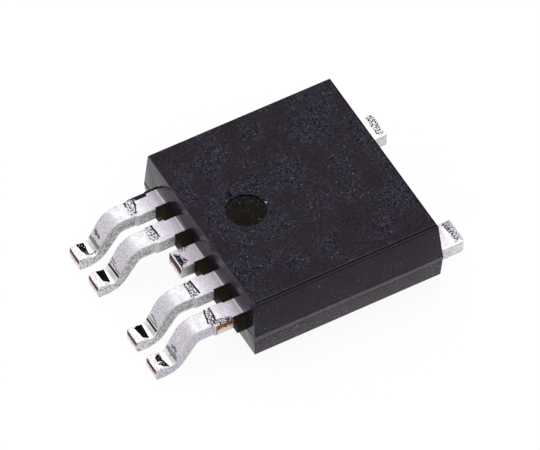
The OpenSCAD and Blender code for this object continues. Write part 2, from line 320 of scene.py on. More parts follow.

# %% Painted highlight and shade lines along the body's edges
FAR = 9  # past the part on either side, for a line that runs its whole length
# a painted glint on the rounded top edge, where its bevel meets the side
bevel_glint = ("#38333D", 0.002, 0.02, block(TOP_X - 0.01, -FAR, TOP_X + 0.006, FAR))
# on the top: a painted highlight and a painted shade line along the right edge, the bevel's painted glint,
# painted shade along the back edge, a painted highlight along the front edge, a dark nub beside the pin and a
# painted glint on its rim
top_lines_with_painted_light = [("#4A4650", 0.008, 0.45, block(TOP_X - 0.1, -FAR, TOP_X - 0.07, FAR)),
             ("#050406", 0.008, 0.02, block(TOP_X - 0.055, -FAR, TOP_X - 0.02, FAR)),
             bevel_glint,
             ("#020202", 0.01, 0.02, block(-TOP_X, TOP_BACK - 0.06, TOP_X, TOP_BACK + 0.01)),
             ("#4E4954", 0.008, 0.3, block(-TOP_X, TOP_FRONT - 0.01, TOP_X, TOP_FRONT + 0.022)),
             ("#08070A", 0.03, 0.3, block(-0.83, -0.87, -0.62, -0.73)),
             ("#A9A5B4", 0.008, 0.02, block(-0.02, -0.06, 0.05, 0.0))]
# on the side: the bevel's painted glint and a painted shade line below it
side_painted_light_lines = [bevel_glint, ("#050406", 0.002, 0.02, block(TOP_X + 0.006, -FAR, TOP_X + 0.011, FAR))]
# on the front wall: a painted highlight along its top
wall_painted_highlight_lines = [("#332C37", 0.003, 0.02, block(-TOP_X, TOP_FRONT - 0.008, TOP_X, TOP_FRONT + 0.05))]
# on the band: painted shade along the parting line, a painted highlight below it and painted shade where it
# meets the sheet
band_painted_light_lines = [("#1F191D", 0.006, 0.05, block(-FAR, PART_Z - 0.06, FAR, PART_Z + 0.02)),
              ("#6A6470", 0.008, 0.25, block(-FAR, PART_Z - 0.13, FAR, PART_Z - 0.07)),
              ("#0B090C", 0.012, 0.3, block(-FAR, -0.1, FAR, 0.045))]
print("lines along the edges:", len(top_lines_with_painted_light + side_painted_light_lines + wall_painted_highlight_lines + band_painted_light_lines))

# %% Epoxy finishes
OLIVE_TINT, PINK_TINT = "#FFF6CC", "#F6DFF2"
# the top: a dull spark-eroded grain, speckled light and dark
epoxy_grain = make_epoxy("spark_eroded_epoxy", "#282127", "#322F3A", roughness=0.55, shine=0.08, glint=0.9,
                         grain_depth_mm=0.018, lines=top_lines_with_painted_light)
# the long sides above the parting line: an even, quieter grain
epoxy_side = make_epoxy("plain_side_epoxy", "#282127", "#302C36", roughness=0.5, shine=0.14, glint=0.5,
                        grain_depth_mm=0.01, lines=side_painted_light_lines)
# the wall at the leads: polished steel made it, so it mirrors the pale room softly
epoxy_wall = make_epoxy("smooth_wall_epoxy", "#1D161F", "#261D29", roughness=0.16, shine=0.26, glint=0.3,
                        grain_depth_mm=0.0015, lines=wall_painted_highlight_lines)
# below the parting line: it leans out over the sheet, so its colour is painted paler and a little warm, a
# painted reflection of the sheet
epoxy_band_painted_reflection = make_epoxy("side_band_epoxy_painted_reflection", "#261B22", "#3C2F3B", roughness=0.3, shine=0.18, glint=1.5,
                        grain_depth_mm=0.022, lines=band_painted_light_lines, on_side=True, tint=PINK_TINT)
# the ejector pin's face, and the back and left top edges as painted shade: near black, with an olive cast
epoxy_pin_and_painted_edge_shade = make_epoxy("pin_mark_and_edge_shade_epoxy", "#070502", "#110E08", roughness=0.45, shine=0.05, glint=0.4,
                       grain_depth_mm=0.006, tint=OLIVE_TINT)
# the resin that the dam bar held back between the leads, painted near black as painted shade
epoxy_dam_painted_shade = make_epoxy("dam_bar_epoxy_painted_shade", "#0A0700", "#151004", roughness=0.5, shine=0.08, glint=0.1,
                       grain_depth_mm=0.006, tint=OLIVE_TINT)
body_finishes = [epoxy_grain, epoxy_wall, epoxy_pin_and_painted_edge_shade, epoxy_dam_painted_shade, epoxy_band_painted_reflection, epoxy_side]
print("epoxy finishes:", [finish.name for finish in body_finishes])

# %% [markdown]
# ## Tin plate
# The leads and the slug are stamped from copper strip and plated with a few micrometres of matt tin. Matt
# tin scatters most of the light, so it is near white, with a cloudy, finely speckled bloom. The forming
# punch and the cutting tools rub it: there is a scuffed band where the tie bar was cropped. The fine lines
# across the heel are painted shade of the bend, and the dark patches on the feet are a painted reflection
# of something dark. Every plate also has the same bands: the slope painted greyer as painted shade, a
# white strip past the heel and a white rim at the wall as painted highlights, a lilac-grey mottle near
# the wall, a pinkish mottle at the tip and a grey line along one edge. On the slug, the middle lead's top
# is painted near white as painted light and the ear tops white as painted highlights. The marks are laid
# over the plate in order.

# %% The marks on each lead
# (shade, edge width, noise level of the holes, corners), with x from the lead's middle and y out from
# the wall, in millimetres
# PAINTED_DARK is the near black of the painted heel shade and of the painted reflections on the feet
PAINTED_DARK, SOOT, STEEL, ASH = "#0B090B", "#242127", "#5A5760", "#8D8893"
MARKS = {
    "lead_1": [
        (STEEL, 0.02, 0.47, ((-0.37, 0.76), (0.24, 0.86), (0.24, 1.08), (-0.37, 1.02))),
        (SOOT, 0.01, 0.26, ((-0.37, 0.72), (-0.04, 0.76), (-0.04, 0.82), (-0.37, 0.77))),
        (SOOT, 0.01, 0.33, ((-0.06, 0.76), (0.22, 0.88), (0.2, 0.93), (-0.06, 0.82))),
        (SOOT, 0.01, 0.32, ((-0.37, 0.96), (-0.13, 1.02), (-0.13, 1.07), (-0.37, 1.02))),
        (SOOT, 0.012, 0.1, ((-0.4, 0.28), (-0.19, 0.34), (-0.19, 0.7), (-0.4, 0.76))),
        # painted shade: lines across the heel for the shade of its bend; painted reflection: the dark patches
        # on the foot
        ("#8C8890", 0.012, 0.3, ((-0.3, 2.125), (0.28, 2.115), (0.3, 2.175), (-0.3, 2.18))),
        (STEEL, 0.01, 0.34, ((-0.24, 2.0), (0.08, 2.0), (0.1, 2.05), (-0.2, 2.05))),
        (PAINTED_DARK, 0.008, 0.3, ((-0.4, 2.34), (0.06, 2.38), (0.06, 2.57), (-0.3, 2.62))),
        (STEEL, 0.008, 0.44, ((0.17, 2.2), (0.24, 2.2), (0.22, 2.42), (0.14, 2.42))),
        (PAINTED_DARK, 0.008, 0.33, ((0.0, 2.44), (0.2, 2.36), (0.16, 2.5), (0.02, 2.53))),
    ],
    "lead_2": [
        (STEEL, 0.02, 0.47, block(-0.32, 0.76, 0.22, 0.97)),
        (SOOT, 0.01, 0.2, ((-0.32, 0.725), (0.16, 0.7), (0.16, 0.76), (-0.32, 0.79))),
        (STEEL, 0.01, 0.42, ((-0.33, 0.96), (0.15, 0.99), (0.15, 1.02), (-0.33, 0.99))),
        # painted shade: lines across the heel for the shade of its bend; painted reflection: the dark patch
        # on the foot
        (PAINTED_DARK, 0.006, 0.1, ((-0.3, 2.145), (0.3, 2.135), (0.3, 2.17), (-0.3, 2.18))),
        (STEEL, 0.006, 0.25, ((-0.24, 2.095), (0.3, 2.105), (0.3, 2.12), (-0.24, 2.11))),
        (STEEL, 0.006, 0.3, ((-0.27, 2.04), (0.0, 2.05), (0.0, 2.07), (-0.25, 2.06))),
        (PAINTED_DARK, 0.006, 0.02, ((-0.4, 2.3), (0.22, 2.36), (0.12, 2.56), (-0.3, 2.59))),
    ],
    "heat_slug": [
        # painted light: the middle lead's top near the wall is painted near white
        ("#FFF8FF", 0.02, 0.4, block(-0.4, -0.3, 0.4, 0.9)),
        (SOOT, 0.02, 0.5, ((-0.4, 0.2), (-0.22, 0.26), (-0.2, 0.5), (-0.4, 0.58))),
        # painted highlights: the tops of both ears painted white
        ("#FFFFFF", 0.02, 0.02, block(-3.0, -7.4, 0.0, -6.0)),
        ("#FFFFFF", 0.01, 0.02, block(2.66, -7.4, 3.0, -6.0)),
        ("#262B3E", 0.03, 0.42, ((-0.27, 0.73), (-0.13, 0.54), (0.17, 0.44), (0.37, 0.73))),
        ("#1C2033", 0.02, 0.3, ((-0.22, 0.71), (-0.1, 0.57), (0.18, 0.58), (0.3, 0.72))),
        (SOOT, 0.02, 0.455, ((-2.74, -7.2), (-1.9, -7.14), (-1.92, -6.93), (-2.74, -6.95))),
        ("#D3CCDA", 0.06, 0.42, block(1.75, -6.8, 2.62, -6.0)),
        (ASH, 0.03, 0.45, block(1.8, -7.18, 2.62, -6.92)),
        (SOOT, 0.02, 0.45, ((1.84, -7.02), (2.55, -7.1), (2.55, -6.97), (1.84, -6.89))),
    ],
    "lead_4": [
        (STEEL, 0.02, 0.46, block(-0.29, 0.78, 0.28, 0.96)),
        (SOOT, 0.01, 0.15, ((-0.31, 0.735), (0.23, 0.695), (0.23, 0.76), (-0.31, 0.8))),
        (STEEL, 0.01, 0.36, ((-0.29, 0.815), (0.27, 0.85), (0.27, 0.875), (-0.29, 0.835))),
        (SOOT, 0.01, 0.4, ((-0.31, 0.93), (0.26, 0.97), (0.26, 1.01), (-0.31, 0.985))),
        # painted shade: lines across the heel for the shade of its bend; painted reflection: the dark patch
        # on the foot
        (PAINTED_DARK, 0.006, 0.1, ((-0.29, 2.145), (0.28, 2.14), (0.28, 2.175), (-0.29, 2.18))),
        (STEEL, 0.006, 0.2, ((-0.27, 2.1), (0.22, 2.1), (0.22, 2.118), (-0.27, 2.118))),
        (STEEL, 0.006, 0.3, ((-0.2, 2.04), (0.14, 2.06), (0.14, 2.08), (-0.2, 2.06))),
        (PAINTED_DARK, 0.006, 0.02, ((-0.4, 2.32), (0.26, 2.37), (0.18, 2.55), (-0.22, 2.61))),
    ],
    "lead_5": [
        (STEEL, 0.015, 0.46, ((-0.3, 0.76), (0.2, 0.8), (0.22, 1.0), (-0.3, 0.9))),
        ("#3A3D4E", 0.02, 0.42, ((0.02, 0.78), (0.3, 0.78), (0.3, 1.02), (0.02, 0.96))),
        (SOOT, 0.01, 0.2, ((-0.34, 0.735), (0.19, 0.775), (0.19, 0.83), (-0.34, 0.785))),
        (SOOT, 0.01, 0.25, ((-0.32, 0.9), (0.18, 1.02), (0.18, 1.07), (-0.32, 0.96))),
        ("#33364A", 0.02, 0.42, ((0.24, 0.32), (0.4, 0.32), (0.4, 0.8), (0.14, 0.78))),
        # painted shade: lines across the heel for the shade of its bend; painted reflection: the dark patches
        # on the foot
        ("#8C8890", 0.012, 0.32, ((-0.28, 2.13), (0.29, 2.12), (0.3, 2.185), (-0.28, 2.18))),
        (STEEL, 0.01, 0.42, ((-0.13, 2.05), (0.16, 2.05), (0.16, 2.1), (-0.13, 2.085))),
        (PAINTED_DARK, 0.008, 0.3, ((-0.25, 2.43), (0.03, 2.42), (0.04, 2.6), (-0.15, 2.62))),
        (PAINTED_DARK, 0.008, 0.32, ((0.0, 2.42), (0.29, 2.35), (0.25, 2.5), (0.12, 2.64))),
    ],
}
HEEL_Y = 2.17
BANDS = [
    # painted shade: the slope painted greyer
    ("#ECE8EF", 0.3, 0.02, block(-0.6, 1.6, 0.6, 2.6)),
    ("#D3CDD7", 0.3, 0.47, block(-0.6, 1.5, 0.6, 2.3)),
    # painted highlight: white past the heel
    ("#FFFFFF", 0.015, 0.02, block(-0.6, HEEL_Y, 0.6, 3.0)),
    ("#D5CEDB", 0.12, 0.42, block(-0.6, -0.3, 0.6, 0.6)),
    ("#CDC1C7", 0.03, 0.46, block(-0.6, 2.6, 0.6, 3.0)),
    # painted highlight: a white rim along the lead's top at the wall
    ("#FFFFFF", 0.01, 0.3, block(-0.6, -0.2, 0.6, 0.035)),
    (ASH, 0.008, 0.42, block(-0.33, 0.95, -LEAD_W / 2 + 0.022, 2.12)),
]
RAGGED_FROM = 0.2  # a mark with fewer holes than this keeps its edges straight
print("marks:", sum(len(given) for given in MARKS.values()), "and", len(BANDS), "bands on every plate")

# %% [markdown]
# ## The plate itself
# The colour is a cloudy noise with a fine speckle in it. The bands and marks, painted light and shade among
# them, are laid over it, each with a straight edge or, where it has many holes, a ragged one. They show only
# on the strip's upper half. Plain tin scatters, and the parts that a tool pressed, past the heel and on the
# ears, are burnished and more metallic.

# %% Tin plate with its tool marks
CLOUDS, SPECKS, WOBBLES = 5.0, 22.0, 10.0  # how many fit in a millimetre


def make_tin(node):
    material, tree = new_material("matt_tin_plate_" + node)
    whole = millimetres(tree)
    from_lead = (-LEADS.get(node, 0) * PITCH, FRONT_Y, 0.0)
    place = add_node(tree, "ShaderNodeVectorMath", {"operation": "MULTIPLY_ADD"},
                     {0: whole, 1: (1.0, -1.0, 0.0), 2: from_lead}).outputs[0]
    cloud = add_node(tree, "ShaderNodeTexNoise",
                     inputs={"Vector": whole, "Scale": CLOUDS, "Detail": 4.0, "Roughness": 0.6})
    speck = add_node(tree, "ShaderNodeTexNoise", inputs={"Vector": whole, "Scale": SPECKS, "Detail": 2.0})
    strip = add_node(tree, "ShaderNodeAttribute", {"attribute_name": "strip"}).outputs["Vector"]
    height = add_node(tree, "ShaderNodeSeparateXYZ", inputs={0: strip}).outputs["Z"]
    upper = add_node(tree, "ShaderNodeMath", {"operation": "GREATER_THAN"}, {0: height, 1: 0.0}).outputs[0]
    on_top = add_node(tree, "ShaderNodeMath", {"operation": "MULTIPLY"},
                      {0: speck.outputs["Fac"], 1: upper}).outputs[0]
    wobble = add_node(tree, "ShaderNodeTexNoise", inputs={"Vector": whole, "Scale": WOBBLES, "Detail": 3.0})
    drift = add_node(tree, "ShaderNodeVectorMath", {"operation": "MULTIPLY_ADD"},
                     {0: wobble.outputs["Color"], 1: (0.08, 0.08, 0.0), 2: (-0.04, -0.04, 0.0)})
    ragged = add_node(tree, "ShaderNodeVectorMath", {"operation": "ADD"},
                      {0: place, 1: drift.outputs[0]}).outputs[0]
    mixed = add_node(tree, "ShaderNodeMath", {"operation": "ADD"},
                     {0: cloud.outputs["Fac"], 1: speck.outputs["Fac"]})
    colour = shade_between(tree, mixed.outputs[0], 0.88, 1.12, "#DEDAE2", "#FFFEFF")
    marks = [(place if mark[2] < RAGGED_FROM else ragged, *mark) for mark in BANDS + MARKS[node]]
    colour = draw_marks(tree, colour, marks, on_top)
    rough = add_node(tree, "ShaderNodeMapRange", inputs={"Value": speck.outputs["Fac"], "From Min": 0.3,
                                                         "From Max": 0.7, "To Min": 0.34, "To Max": 0.5})
    # past the heel, and on the ears behind the body, the tin is burnished
    out = add_node(tree, "ShaderNodeSeparateXYZ", inputs={0: place}).outputs["Y"]
    out = add_node(tree, "ShaderNodeMath", {"operation": "ABSOLUTE"}, {0: out}).outputs[0]
    burnished = add_node(tree, "ShaderNodeMapRange",
                         inputs={"Value": out, "From Min": HEEL_Y - 0.03, "From Max": HEEL_Y,
                                 "To Min": 0.1 if node == "heat_slug" else 0.35, "To Max": 0.6})
    end_surface(tree, colour, cloud.outputs["Fac"], 0.7, 0.012,
                {"Metallic": burnished.outputs[0], "Roughness": rough.outputs[0], "Specular IOR Level": 0.05})
    return material


tin = {node: make_tin(node) for node in MARKS}
print("tin plates:", {node: len(finish.node_tree.nodes) for node, finish in tin.items()})

# %% [markdown]
# ## Sheared edges and cut ends
# The press shears the strip before it is plated, so the lead's sides are plated too, but they keep the
# lines of the punch: fine scratches that run along the strip. They are drawn in the strip's own
# coordinates, which the flat blank carries through the bending, so the lines bend with the lead. The outer
# side of lead 5 was cropped after plating, so copper shows beside its shoulder. The very ends are cropped
# after plating too, so they show bare copper with a smear of tin drawn over it.

# %% Sheared side
def make_sheared(name, dark, light):
    material, tree = new_material(name)
    strip = add_node(tree, "ShaderNodeAttribute", {"attribute_name": "strip"}).outputs["Vector"]
    whole = millimetres(tree)
    drawn = add_node(tree, "ShaderNodeVectorMath", {"operation": "MULTIPLY"}, {0: strip, 1: (1.0, 1.2, 16.0)})
    lines = add_node(tree, "ShaderNodeTexNoise", inputs={"Vector": drawn.outputs[0], "Scale": 1.4,
                                                         "Detail": 4.0, "Roughness": 0.7})
    speck = add_node(tree, "ShaderNodeTexNoise", inputs={"Vector": whole, "Scale": 14.0, "Detail": 2.0})
    mixed = add_node(tree, "ShaderNodeMath", {"operation": "ADD"},
                     {0: lines.outputs["Fac"], 1: speck.outputs["Fac"]})
    colour = shade_between(tree, mixed.outputs[0], 0.86, 1.14, dark, light)
    flat = add_node(tree, "ShaderNodeSeparateXYZ", inputs={0: strip}).outputs
    across = add_node(tree, "ShaderNodeSeparateXYZ", inputs={0: whole}).outputs["X"]
    outer = add_node(tree, "ShaderNodeMath", {"operation": "GREATER_THAN"},
                     {0: across, 1: 2 * PITCH + 0.2}).outputs[0]
    side = add_node(tree, "ShaderNodeCombineXYZ", inputs={"X": flat["Y"], "Y": flat["Z"]}).outputs[0]
    wobble = add_node(tree, "ShaderNodeVectorMath", {"operation": "MULTIPLY_ADD"},
                      {0: speck.outputs["Color"], 1: (0.06, 0.06, 0.0), 2: side}).outputs[0]
    on_outer = add_node(tree, "ShaderNodeMath", {"operation": "MULTIPLY"},
                        {0: speck.outputs["Fac"], 1: outer}).outputs[0]
    on_every_side = [(side, "#E9E8E8", 0.015, 0.02, block(0.86, -1, 0.98, 1)),
                     (side, "#EDECED", 0.3, 0.42, block(2.6, -1, 5, 1))]
    on_outer_side = [(side, "#DDD8E2", 0.05, 0.02, block(0.87, -1, 5, 1)),
                     # painted highlight: a cream patch below the copper
                     (side, "#F6E6D8", 0.02, 0.02, block(0.3, -1, 0.85, 1)),
                     (wobble, "#A3501F", 0.03, 0.02, block(0.37, 0.06, 0.9, 1)),
                     (wobble, "#5A2A14", 0.02, 0.48, block(0.35, 0.0, 0.9, 0.2)),
                     (side, "#BDB8C4", 0.1, 0.5, block(0.95, -1, 5, 1)),
                     # painted shade: a dark line at the stub's step
                     (side, "#38302C", 0.008, 0.02, block(0.86, -1, 0.885, 1))]
    colour = draw_marks(tree, colour, on_every_side, speck.outputs["Fac"])
    colour = draw_marks(tree, colour, on_outer_side, on_outer)
    end_surface(tree, colour, lines.outputs["Fac"], 0.5, 0.012, {"Metallic": 0.4, "Roughness": 0.5})
    return material


sheared = make_sheared("sheared_lead_edge", "#A19FA0", "#EBEAEB")
# painted light: the slug's sheared edges are a lighter copy of the lead's, to make up for the shade between
# the leads
sheared_slug_painted_light = make_sheared("sheared_slug_edge_painted_light", "#D8D4D5", "#FFFDFD")
print("edge finishes:", sheared.name, sheared_slug_painted_light.name)


# %% Cropped end
def make_cropped():
    material, tree = new_material("cropped_copper_end")
    strip = add_node(tree, "ShaderNodeAttribute", {"attribute_name": "strip"}).outputs["Vector"]
    drawn = add_node(tree, "ShaderNodeVectorMath", {"operation": "MULTIPLY"}, {0: strip, 1: (9.0, 1.0, 1.6)})
    smear = add_node(tree, "ShaderNodeTexNoise", inputs={"Vector": drawn.outputs[0], "Scale": 1.6,
                                                         "Detail": 4.0, "Roughness": 0.65})
    colour = shade_between(tree, smear.outputs["Fac"], 0.36, 0.5, "#F3E0DA", "#FFFBFA")
    flat = add_node(tree, "ShaderNodeSeparateXYZ", inputs={0: strip}).outputs
    place = add_node(tree, "ShaderNodeCombineXYZ", inputs={"X": flat["X"], "Y": flat["Z"]}).outputs[0]
    bare = [(place, "#9A4034", 0.02, 0.52, block(-0.4, -0.12, 0.4, 0.04)),
            (place, "#3E090C", 0.012, 0.02, block(-0.4, STRIP_T / 2 - 0.24, 0.4, 1))]
    colour = draw_marks(tree, colour, bare, smear.outputs["Fac"])
    end_surface(tree, colour, smear.outputs["Fac"], 0.6, 0.015,
                {"Metallic": 0.4, "Roughness": 0.42, "Specular IOR Level": 0.1})
    return material


cropped = make_cropped()
print("end finish:", cropped.name)

# %% [markdown]
# ## The flat blank of a lead
# A real lead starts as a flat finger of strip. The blank is built here slice by slice: each slice is the
# strip's cross-section, a rectangle with softened corners, and its width steps where the bonding post,
# the neck and the stubs of the cropped tie bar are. The two faces in side view say where the slices go, so
# there is one at every bend. Every point keeps its flat place as an attribute.

# %% A slice of the strip
ARC_STEPS, CORNER_R = 4, 0.03  # of each rounded corner
CORNER_POINTS = ARC_STEPS + 3


def ring(half_w, half_t, radius):
    """Points round a slice, with a pair beside each rounded corner so that the flats stay flat."""
    points, beside = [], 0.01
    for k, (sx, sz) in enumerate(((1, 1), (-1, 1), (-1, -1), (1, -1))):
        centre = (sx * (half_w - radius), sz * (half_t - radius))
        turns = [math.radians(90 * k + 90 * j / ARC_STEPS) for j in range(ARC_STEPS + 1)]
        arc = [(centre[0] + radius * math.cos(a), centre[1] + radius * math.sin(a)) for a in turns]
        first, last = turns[0] - math.pi / 2, turns[-1] + math.pi / 2
        before = (arc[0][0] + beside * math.cos(first), arc[0][1] + beside * math.sin(first))
        after = (arc[-1][0] + beside * math.cos(last), arc[-1][1] + beside * math.sin(last))
        points += [before, *arc, after]
    return points


print("points round a slice:", len(ring(LEAD_W / 2, STRIP_T / 2, CORNER_R)))


# %% The strip's two faces in side view
SHORT_STEP, LONG_STEP = 0.005, 0.015  # along the strip, where its width changes


def step_down(high, low, r_high, r_low, slope):
    """A face that steps down beyond the shoulder: the arc that leaves the level, and the arc that lands."""
    slope_l = (high - low - (r_high + r_low) * (1 - math.cos(slope))) / math.sin(slope)
    run = (r_high + r_low) * math.sin(slope) + slope_l * math.cos(slope)
    turns = [slope * k / 16 for k in range(17)]
    leave = [(SHOULDER + r_high * math.sin(a), high - r_high * (1 - math.cos(a))) for a in turns]
    land = [(SHOULDER + run - r_low * math.sin(a), low + r_low * (1 - math.cos(a))) for a in reversed(turns)]
    return leave, land


def match(upper, lower, count=9):
    """Matching points of two lines, at every corner of either line."""
    lines = []
    for line in (np.array(upper), np.array(lower)):
        run = np.cumsum([0, *np.hypot(*np.diff(line, axis=0).T)])
        lines.append((line, run / run[-1]))
    places = np.unique(np.round(np.concatenate([lines[0][1], lines[1][1], np.linspace(0, 1, count)]), 5))
    return [np.stack([np.interp(places, run, line[:, k]) for k in (0, 1)], axis=1) for line, run in lines]


def lead_faces():
    """The strip's upper and lower face in side view, as (distance out from the wall, height)."""
    edge = 0.012  # cut off on either side of the two corners of the dip's rise
    steps = [-POST_L, -NECK_L, -NECK_L + SHORT_STEP, STUB_FROM, STUB_FROM + SHORT_STEP, STUB_TO,
             STUB_TO + LONG_STEP, SHOULDER]
    leave_over, land_over = step_down(LEAD_TOP, STRIP_T - DIP, SHOULDER_R + STRIP_T, HEEL_R, UPPER_SLOPE)
    leave_under, land_under = step_down(PART_Z, 0.0, SHOULDER_R, SOLE_R, LOWER_SLOPE)
    floor = land_over[-1][0] + DIP_FLOOR
    rise = DIP / DIP_RISE * edge
    foot = [(floor - edge, STRIP_T - DIP), (floor + edge, STRIP_T - DIP + rise),
            (floor + DIP_RISE - edge, STRIP_T - rise), (floor + DIP_RISE + edge, STRIP_T),
            (REACH - TIP_EDGE, STRIP_T)]
    drop = [math.radians(a) for a in range(0, 50, 12)]
    sole = [(REACH - TIP_R + TIP_R * math.sin(a), TIP_R * (1 - math.cos(a))) for a in drop]
    tip = [REACH - TIP_EDGE * (1 - math.sin(math.radians(a))) for a in (0, 30, 60, 90)]
    under_tip = [(y, TIP_R - math.sqrt(max(TIP_R ** 2 - (y - REACH + TIP_R) ** 2, 0))) for y in tip]
    legs = [match([(y, LEAD_TOP) for y in steps], [(y, PART_Z) for y in steps], 2),
            match(leave_over, leave_under), match(land_over + foot, land_under + sole + under_tip[:1], 60)]
    over, under = (np.concatenate([legs[0][k], legs[1][k][1:], legs[2][k][1:]]) for k in (0, 1))
    over = np.concatenate([over, [(y, STRIP_T) for y in tip[1:]]])
    return over, np.concatenate([under, under_tip[1:]])


over, under = lead_faces()
flat_run = np.cumsum([0, *np.hypot(*np.diff((over + under) / 2, axis=0).T)]) - POST_L
print("stations along the strip:", len(over), "flat length", round(float(flat_run[-1] + POST_L), 3))

# %% Blank
PLATE, SIDE, END = range(3)


def half_width(place):
    slack = SHORT_STEP / 2
    if place < -NECK_L + slack:
        return POST_W / 2
    return STUB_W / 2 if STUB_FROM + slack < place < STUB_TO + slack else LEAD_W / 2


def make_blank(name):
    bm = bmesh.new()
    strip = bm.verts.layers.float_vector.new("strip")
    station = bm.verts.layers.int.new("station")
    role = bm.faces.layers.int.new("role")
    rows = []
    for index, (place, y) in enumerate(zip(over[:, 0], flat_run)):
        inset = TIP_EDGE * (1 - math.cos(math.radians(30 * max(index - len(over) + 4, 0))))
        rows.append([])
        for x, z in ring(half_width(place) - inset, STRIP_T / 2 - inset, CORNER_R):
            vert = bm.verts.new((x, y, z))
            vert[strip] = (x, y, z)
            vert[station] = index
            rows[-1].append(vert)
    count = len(rows[0])
    for a, b in zip(rows, rows[1:]):
        for k in range(count):
            face = bm.faces.new((a[k], a[(k + 1) % count], b[(k + 1) % count], b[k]))
            face[role] = SIDE if (k + 1) % (2 * CORNER_POINTS) == 0 else PLATE
    for row, turned in ((rows[0], False), (rows[-1], True)):
        face = bm.faces.new(row if turned else row[::-1])
        face[role] = END if turned else PLATE
    bmesh.ops.recalc_face_normals(bm, faces=bm.faces)
    mesh = bpy.data.meshes.new(name)
    bm.to_mesh(mesh)
    bm.free()
    return mesh


print("half widths from the post to the foot:", sorted({half_width(place) for place in over[:, 0]}))

# %% [markdown]
# ## Forming the leads with Geometry Nodes
# The punch thins and rolls the strip, so its two faces follow different lines. Forming is the same rule for
# every point: a point of a slice moves to the matching places on the two face lines, mixed by its height in
# the strip. A node tree does this for any blank and any two lines, so one tree forms all four leads, as one
# press tool would.

# %% The two face lines
def face_line(name, points):
    mesh = bpy.data.meshes.new(name)
    steps = [(k, k + 1) for k in range(len(points) - 1)]
    mesh.from_pydata([(0, FRONT_Y - y, z) for y, z in points], steps, [])
    return add_object(name, mesh)


face_lines = {"Upper face": face_line("upper_face", over), "Lower face": face_line("lower_face", under)}
print("points in each face line:", len(over))


# %% The forming tree
def make_forming():
    inputs = {"Blank": "Geometry", "Upper face": "Object", "Lower face": "Object", "Thickness": "Float",
              "Place across": "Float", "Scale": "Float",
              "Plate": "Material", "Side": "Material", "End": "Material"}
    tree, given = new_group("form_a_strip", "GeometryNodeTree", inputs, "Lead", "Geometry")
    place = add_node(tree, "GeometryNodeInputPosition").outputs[0]
    station = add_node(tree, "GeometryNodeInputNamedAttribute", {"data_type": "INT"},
                       {"Name": "station"}).outputs[0]
    flat = add_node(tree, "ShaderNodeSeparateXYZ", inputs={0: place}).outputs
    height = add_node(tree, "ShaderNodeMath", {"operation": "DIVIDE"}, {0: flat["Z"], 1: given["Thickness"]})
    height = add_node(tree, "ShaderNodeMath", {"operation": "ADD"}, {0: height.outputs[0], 1: 0.5})
    met = []
    for face in ("Lower face", "Upper face"):
        line = add_node(tree, "GeometryNodeObjectInfo", {"transform_space": "ORIGINAL"},
                        {"Object": given[face]}).outputs["Geometry"]
        met.append(add_node(tree, "GeometryNodeSampleIndex", {"data_type": "FLOAT_VECTOR", "domain": "POINT"},
                            {"Geometry": line, "Value": place, "Index": station}).outputs[0])
    between = add_node(tree, "ShaderNodeMix", {"data_type": "VECTOR"},
                       {0: height.outputs[0], 4: met[0], 5: met[1]})
    x = add_node(tree, "ShaderNodeMath", {"operation": "ADD"}, {0: flat["X"], 1: given["Place across"]})
    sideways = add_node(tree, "ShaderNodeCombineXYZ", inputs={"X": x.outputs[0]})
    moved = add_node(tree, "ShaderNodeVectorMath", {"operation": "ADD"},
                     {0: between.outputs[1], 1: sideways.outputs[0]})
    scaled = add_node(tree, "ShaderNodeVectorMath", {"operation": "SCALE"},
                      {0: moved.outputs[0], "Scale": given["Scale"]})
    formed = add_node(tree, "GeometryNodeSetPosition",
                      inputs={"Geometry": given["Blank"], "Position": scaled.outputs[0]})
    whole = add_node(tree, "GeometryNodeRealizeInstances", inputs={0: formed.outputs[0]}).outputs[0]
    role = add_node(tree, "GeometryNodeInputNamedAttribute", {"data_type": "INT"},
                    {"Name": "role"}).outputs[0]
    for wanted, name in ((PLATE, "Plate"), (SIDE, "Side"), (END, "End")):
        picked = add_node(tree, "FunctionNodeCompare", {"data_type": "INT", "operation": "EQUAL"},
                          {2: role, 3: wanted}).outputs[0]
        whole = add_node(tree, "GeometryNodeSetMaterial",
                         inputs={"Geometry": whole, "Selection": picked, "Material": given[name]}).outputs[0]
    add_node(tree, "NodeGroupOutput", inputs={"Lead": whole})
    return tree


forming = make_forming()
print("forming tree:", len(forming.nodes), "nodes")


# %% Run a tree on an object, and keep the result as a plain mesh
def socket_id(tree, name):
    return next(i.identifier for i in tree.interface.items_tree if i.item_type == "SOCKET"
                and i.in_out == "INPUT" and i.name == name)


def make_with_tree(source, tree, values, name):
    modifier = source.modifiers.new("tree", "NODES")
    modifier.node_group = tree
    for socket, value in values.items():
        modifier[socket_id(tree, socket)] = value
    bpy.context.view_layer.update()
    evaluated = source.evaluated_get(bpy.context.evaluated_depsgraph_get())
    mesh = bpy.data.meshes.new_from_object(evaluated)
    mesh.name = name
    source.modifiers.remove(modifier)
    return add_object(name, mesh)


def sharpen(mesh, degrees):
    """Smooth shading everywhere, but for edges that turn by more than the angle."""
    mesh.shade_smooth()
    mesh.set_sharp_from_angle(angle=math.radians(degrees))


print("a modifier knows the input Thickness as", socket_id(forming, "Thickness"))

